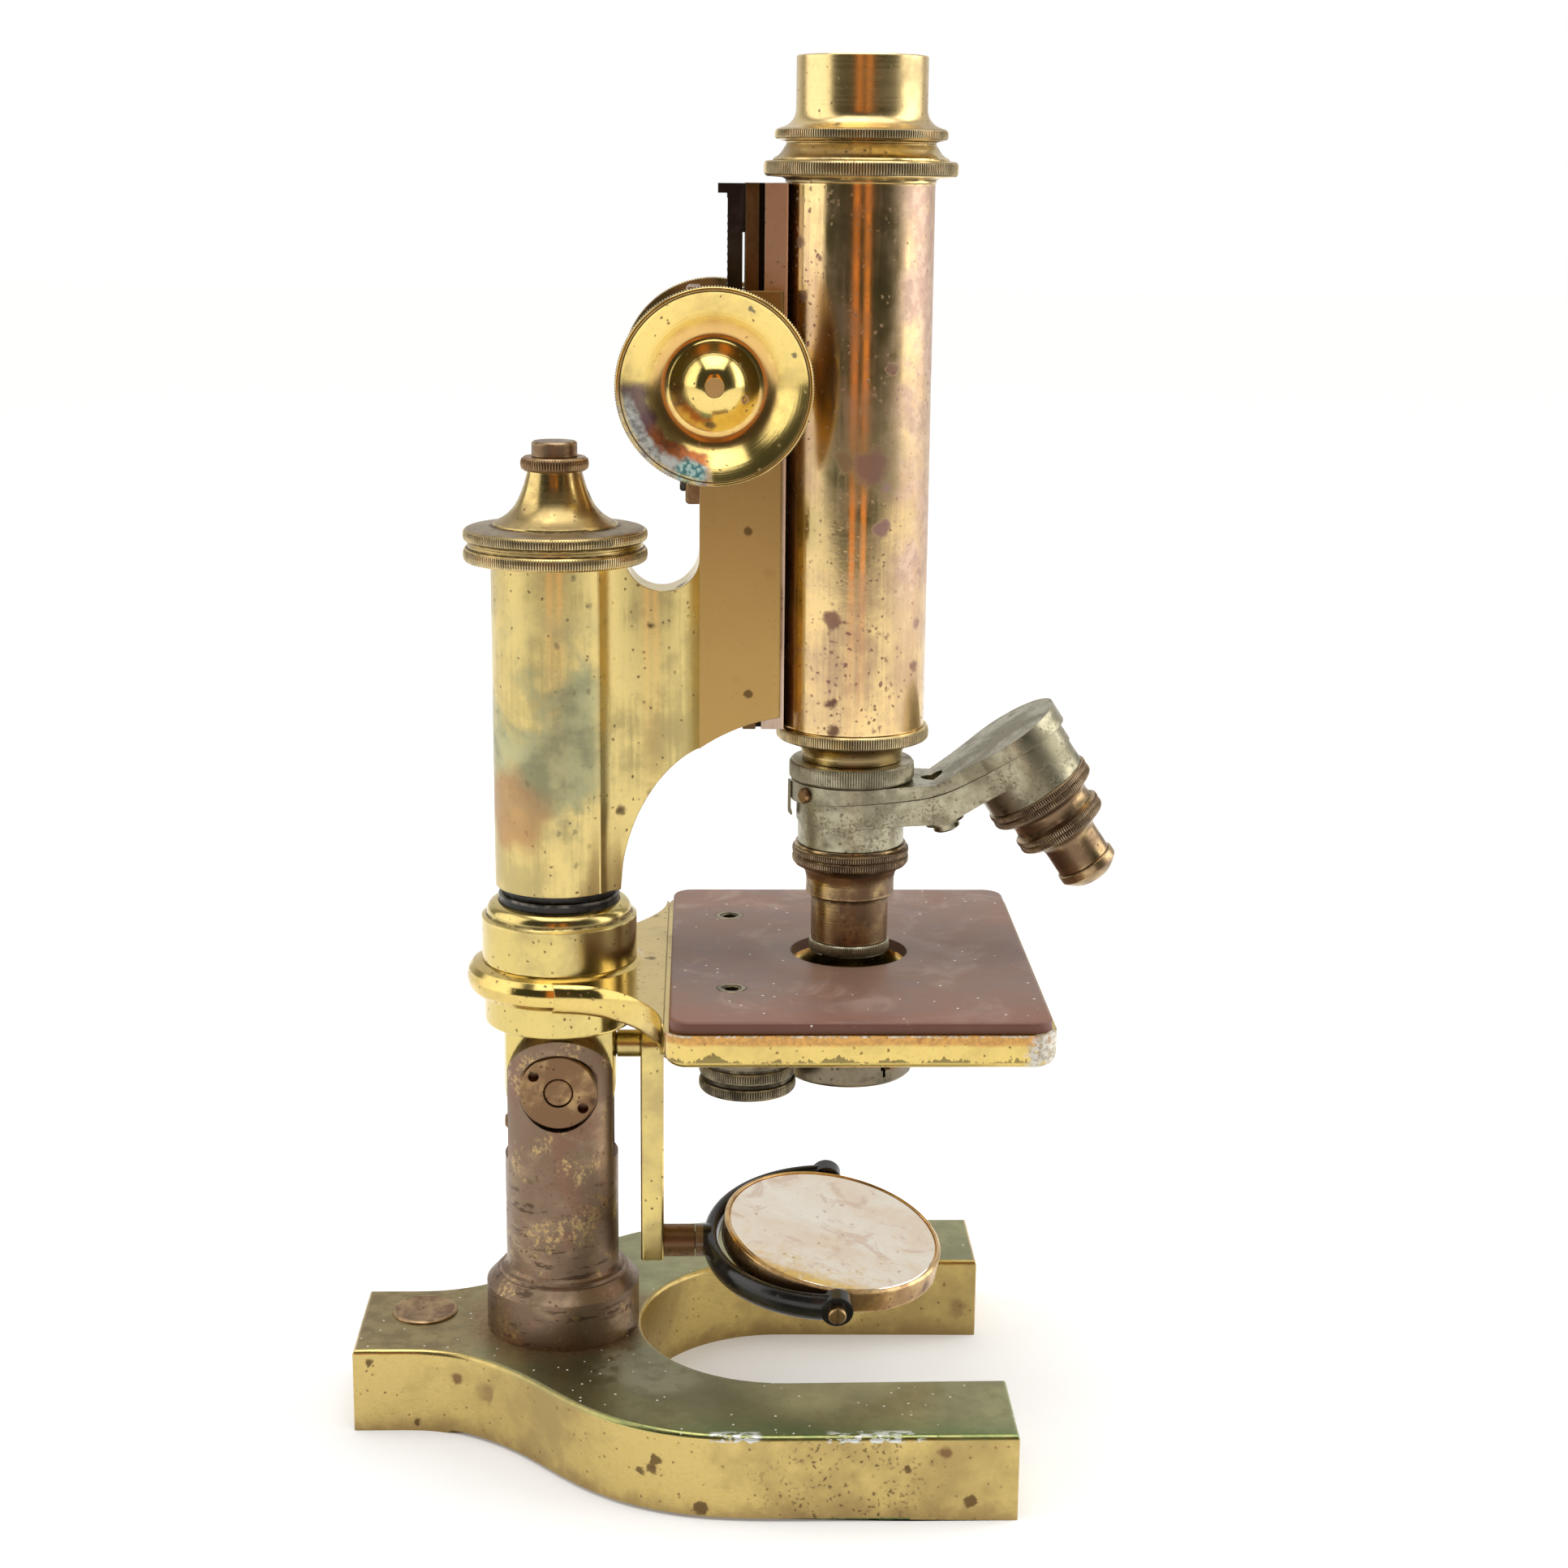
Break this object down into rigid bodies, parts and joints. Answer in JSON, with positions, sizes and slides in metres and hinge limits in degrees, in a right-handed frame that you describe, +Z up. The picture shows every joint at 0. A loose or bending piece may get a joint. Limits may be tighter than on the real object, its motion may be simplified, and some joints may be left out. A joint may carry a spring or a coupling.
{
  "type": "compound microscope",
  "caption": "Brass compound microscope: horseshoe foot, tilting limb with square stage, rack focus, double nosepiece, draw tube and tilting mirror.",
  "frame": {"origin": "where the optical axis meets the resting plane under the foot", "axes": "+Z up along the optical axis; +X from the pillar towards the open ends of the foot; +Y to the far side of the stage"},
  "size_m": [0.1701, 0.1166, 0.3016],
  "materials": {
    "foot_brass": "tarnished satin",
    "dark_bronze": "dark patina",
    "blued_steel": "blued",
    "brown_bronze": "brown patina",
    "aged_brass": "aged lacquer",
    "bright_brass": "polished",
    "black_steel": "oil blackened",
    "hard_rubber": "satin vulcanite",
    "lacquered_brass": "gold lacquer, worn",
    "nickel": "worn nickel silver",
    "lens_glass": "clear",
    "black_enamel": "gloss black",
    "mirror_glass": "silvered"
  },
  "bodies": {
    "stand": {"base": "foot_brass", "base_plug": "dark_bronze", "pillar_bolt": "blued_steel", "pillar": "brown_bronze", "joint_bolt": "brown_bronze", "joint_nut": "brown_bronze"},
    "limb": {"limb_joint": "aged_brass", "limb_stop_screw": "blued_steel", "limb_collar": "bright_brass", "guide_pillar": "black_steel", "stage_bracket": "bright_brass", "stage_plate": "hard_rubber", "stage_clip_bushes": "bright_brass", "iris_pivot_screw": "dark_bronze", "focus_spring": "black_steel", "tail_pivot_pin": "bright_brass"},
    "arm": {"arm": "lacquered_brass", "pinion_housing": "lacquered_brass", "housing_screws": "blued_steel", "column_collar": "lacquered_brass"},
    "fine_head": {"fine_focus_head": "lacquered_brass", "fine_lock_ring": "brown_bronze", "fine_cap": "lacquered_brass", "micrometer_screw": "black_steel"},
    "pinion": {"pinion_shaft": "black_steel", "coarse_knob_near": "lacquered_brass", "coarse_knob_far": "lacquered_brass"},
    "tube": {"rack": "black_steel", "tube_slide": "aged_brass", "body_tube": "lacquered_brass", "tube_top_ring": "lacquered_brass", "nose_adapter": "lacquered_brass", "nose_ring": "nickel", "nose_fixed_plate": "nickel", "nose_pivot_screw": "nickel", "nose_spring_clip": "nickel", "nose_clip_screw": "nickel"},
    "draw_tube": {"draw_tube": "lacquered_brass"},
    "eyepiece": {"eyepiece_shell": "lacquered_brass", "eye_lens": "lens_glass", "field_lens": "lens_glass", "eyepiece_stop": "black_steel"},
    "nosepiece": {"nose_turning_plate": "nickel", "objective_low": "aged_brass", "objective_low_ring": "nickel", "objective_high": "aged_brass", "objective_high_nose": "aged_brass", "objective_lenses": "lens_glass"},
    "iris": {"iris_mount": "dark_bronze", "iris_leaves": "black_steel"},
    "iris_lever": {"iris_lever": "dark_bronze"},
    "tailpiece": {"tail_bar": "bright_brass", "mirror_arm": "brown_bronze"},
    "fork": {"mirror_fork": "black_enamel", "fork_screws": "black_steel"},
    "mirror": {"mirror_cell": "aged_brass", "mirror_flat_glass": "mirror_glass", "mirror_concave_glass": "mirror_glass"}
  },
  "joints": [
    {"name": "inclination", "type": "hinge", "parent": "stand", "child": "limb", "pos_m": [-0.0646, 0, 0.079], "axis": [0, -1, 0], "range_deg": [0, 90]},
    {"name": "fine_focus", "type": "slide", "parent": "limb", "child": "arm", "axis": [0, 0, 1], "range_m": [-0.0015, 0.0015], "deforming": ["focus_spring"]},
    {"name": "fine_knob_turn", "type": "hinge", "parent": "arm", "child": "fine_head", "pos_m": [-0.0646, 0, 0.21], "axis": [0, 0, 1], "range_deg": [-1081, 1081]},
    {"name": "coarse_focus", "type": "slide", "parent": "arm", "child": "tube", "axis": [0, 0, 1], "range_m": [-0.005, 0.045]},
    {"name": "pinion_turn", "type": "hinge", "parent": "arm", "child": "pinion", "pos_m": [-0.0306, 0, 0.2352], "axis": [0, -1, 0], "range_deg": [-96, 861]},
    {"name": "draw_out", "type": "slide", "parent": "tube", "child": "draw_tube", "axis": [0, 0, 1], "range_m": [0, 0.06]},
    {"name": "eyepiece_lift", "type": "slide", "parent": "draw_tube", "child": "eyepiece", "axis": [0, 0, 1], "range_m": [0, 0.05]},
    {"name": "nosepiece_turn", "type": "hinge", "parent": "tube", "child": "nosepiece", "pos_m": [0.01932, 0, 0.1437], "axis": [-0.2924, 0, 0.9563], "range_deg": [0, 180]},
    {"name": "iris_swing", "type": "hinge", "parent": "limb", "child": "iris", "pos_m": [-0.0228, -0.015, 0.088], "axis": [0, 0, -1], "range_deg": [0, 90]},
    {"name": "iris_lever_turn", "type": "hinge", "parent": "iris", "child": "iris_lever", "pos_m": [0, 0, 0.084], "axis": [0, 0, 1], "range_deg": [0, 45]},
    {"name": "tailpiece_swing", "type": "hinge", "parent": "limb", "child": "tailpiece", "pos_m": [-0.044, 0, 0.0866], "axis": [1, 0, 0], "range_deg": [-50, 50]},
    {"name": "fork_turn", "type": "hinge", "parent": "tailpiece", "child": "fork", "pos_m": [-0.034, 0, 0.039], "axis": [1, 0, 0], "continuous": true},
    {"name": "mirror_tilt", "type": "hinge", "parent": "fork", "child": "mirror", "pos_m": [-0.003, 0, 0.039], "axis": [0, 0.9877, 0.1564], "continuous": true}
  ],
  "couplings": [
    {"joint": "fine_knob_turn", "follows": "fine_focus", "rad_per_m": 12566},
    {"joint": "pinion_turn", "follows": "coarse_focus", "rad_per_m": 333.33}
  ]
}
